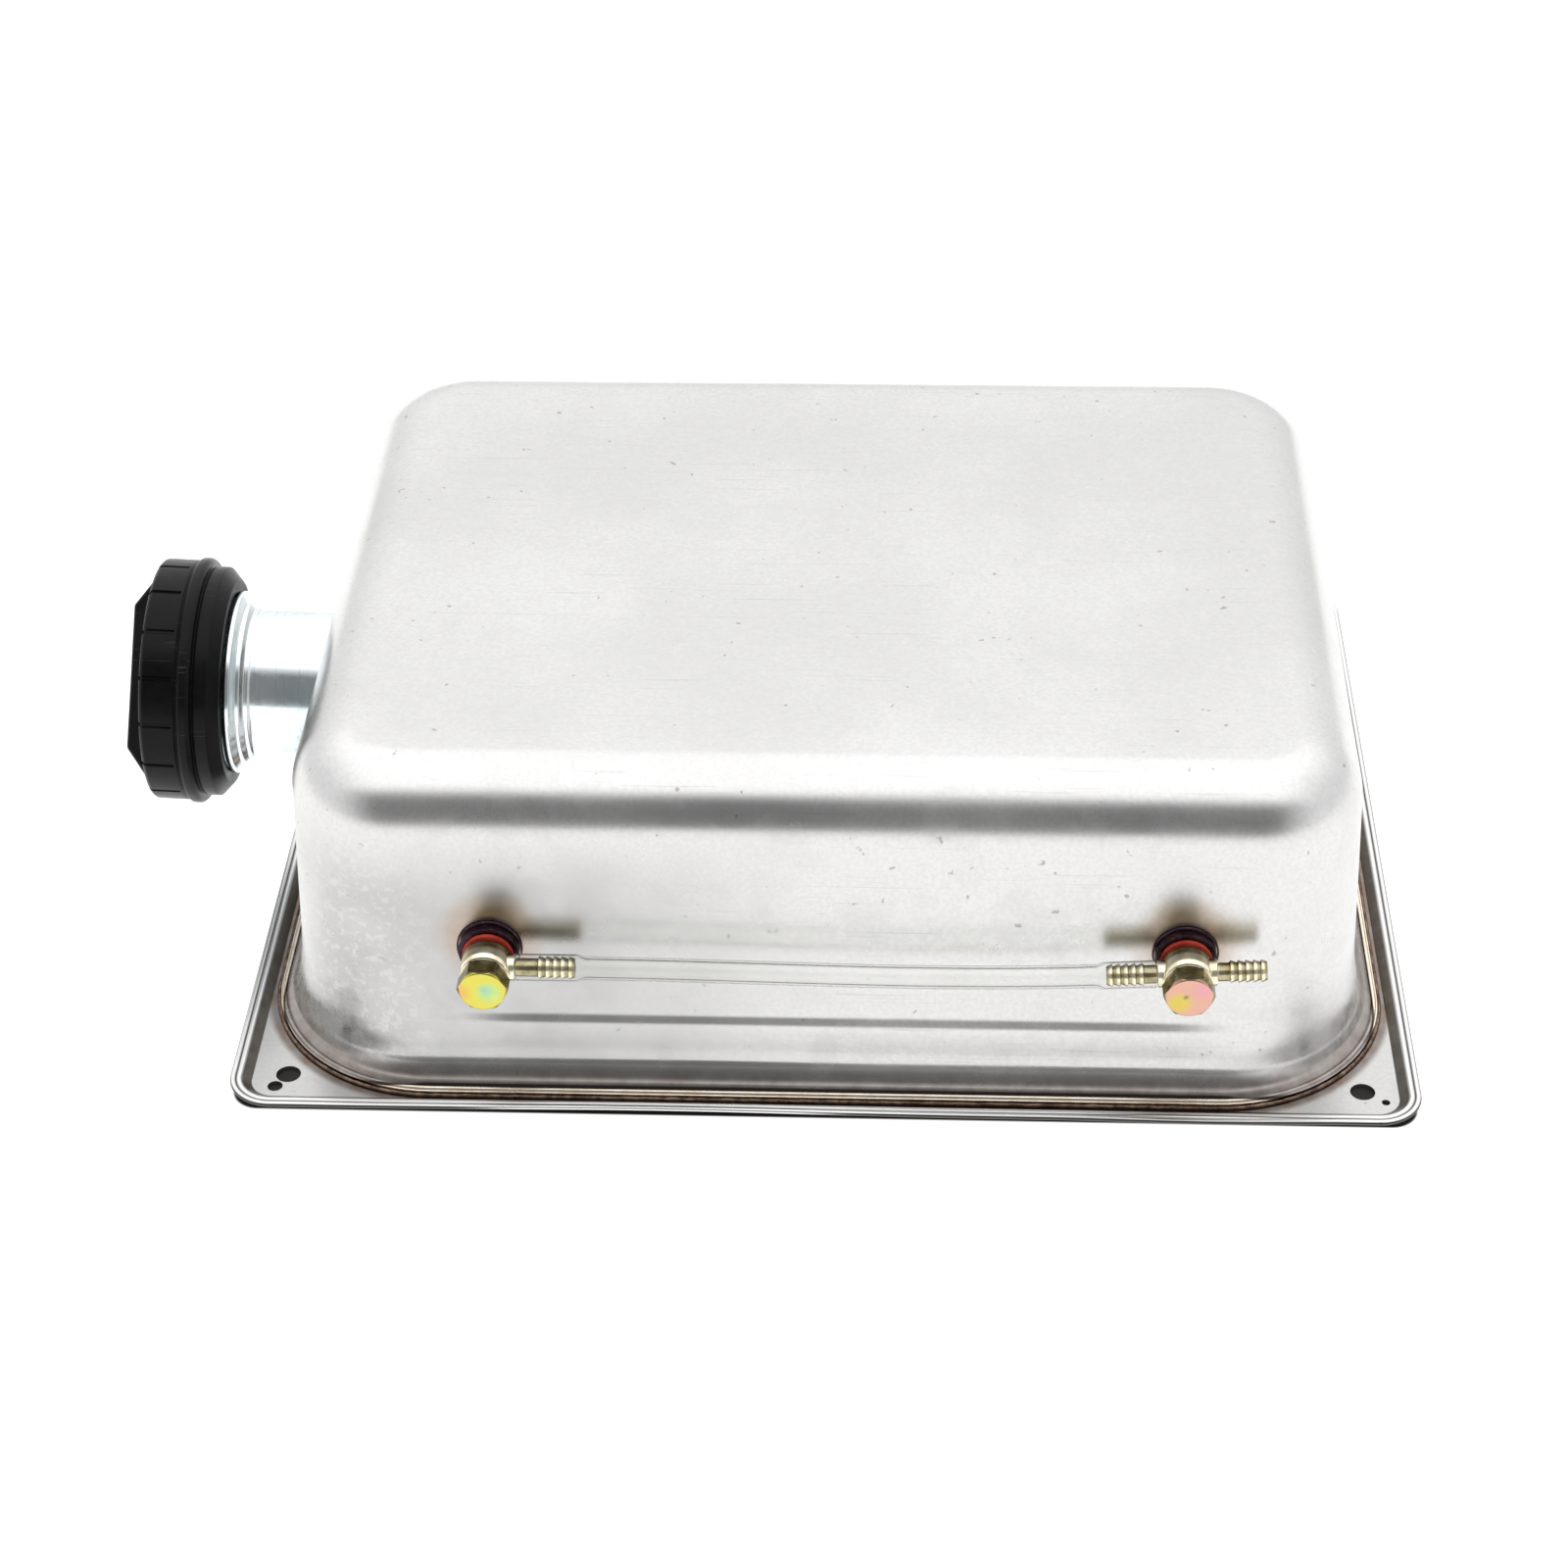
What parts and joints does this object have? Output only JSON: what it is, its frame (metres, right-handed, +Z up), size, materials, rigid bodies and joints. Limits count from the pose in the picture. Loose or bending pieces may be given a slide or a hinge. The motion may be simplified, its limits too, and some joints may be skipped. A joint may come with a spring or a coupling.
{
  "type": "hydraulic reservoir",
  "caption": "Drawn steel hydraulic reservoir on a rimmed base plate, with an end filler neck and screw cap, a clear level tube between banjo fittings, and an outlet barb.",
  "frame": {"origin": "centre of the base plate's underside", "axes": "+Z up from the base plate to the tank's flat top; +X along the long side, away from the filler, so the filler points along -X; the level gauge is on the -Y wall"},
  "size_m": [0.4787, 0.3483, 0.1254],
  "materials": {
    "satin_steel": "satin drawn stainless, lightly scratched",
    "heat_tinted_weld": "brown heat tint",
    "blue_zinc": "bright blue-white zinc plate",
    "strainer_steel": "plain perforated steel",
    "cap_plastic": "fine moulded texture",
    "nitrile_rubber": "matt",
    "vent_plastic": "natural moulded",
    "red_fibre": "pressed fibre",
    "yellow_zinc": "iridescent yellow zinc plate",
    "clear_hose": "clear, glossy"
  },
  "bodies": {
    "tank": {"base_plate": "satin_steel", "tank_shell": "satin_steel", "seam_weld": "heat_tinted_weld", "filler_neck": "blue_zinc", "neck_weld": "heat_tinted_weld", "strainer_rim": "blue_zinc", "strainer_basket": "strainer_steel", "left_boss": "satin_steel", "left_boss_weld": "heat_tinted_weld", "left_inner_washer": "red_fibre", "left_banjo": "yellow_zinc", "left_outer_washer": "yellow_zinc", "left_banjo_bolt": "yellow_zinc", "right_boss": "satin_steel", "right_boss_weld": "heat_tinted_weld", "right_inner_washer": "red_fibre", "right_banjo": "yellow_zinc", "right_outer_washer": "yellow_zinc", "right_banjo_bolt": "yellow_zinc", "level_tube": "clear_hose"},
    "gasket": {"cap_gasket": "nitrile_rubber"},
    "cap_core": {"cap_plate": "blue_zinc", "vent_cage": "strainer_steel", "vent_spring": "strainer_steel"},
    "cap": {"cap_shell": "cap_plastic"},
    "vent": {"vent_valve": "vent_plastic"}
  },
  "joints": [
    {"name": "cap_lift_off", "type": "slide", "parent": "tank", "child": "gasket", "axis": [-0.9991, 0, 0.0425], "range_m": [0, 0.08]},
    {"name": "cap_rise", "type": "slide", "parent": "gasket", "child": "cap_core", "axis": [-0.9991, 0, 0.0425], "range_m": [0, 0.008]},
    {"name": "cap_turn", "type": "hinge", "parent": "cap_core", "child": "cap", "pos_m": [-0.24977, 0, 0.06744], "axis": [-0.9991, 0, 0.0425], "range_deg": [0, 720]},
    {"name": "vent_open", "type": "slide", "parent": "cap_core", "child": "vent", "axis": [0.9991, 0, -0.0425], "range_m": [0, 0.0015], "stiffness_N_per_m": 200, "springref_m": -0.002, "deforming": ["vent_spring"]}
  ],
  "couplings": [
    {"joint": "cap_rise", "follows": "cap_turn", "m_per_rad": 0.0006366}
  ]
}
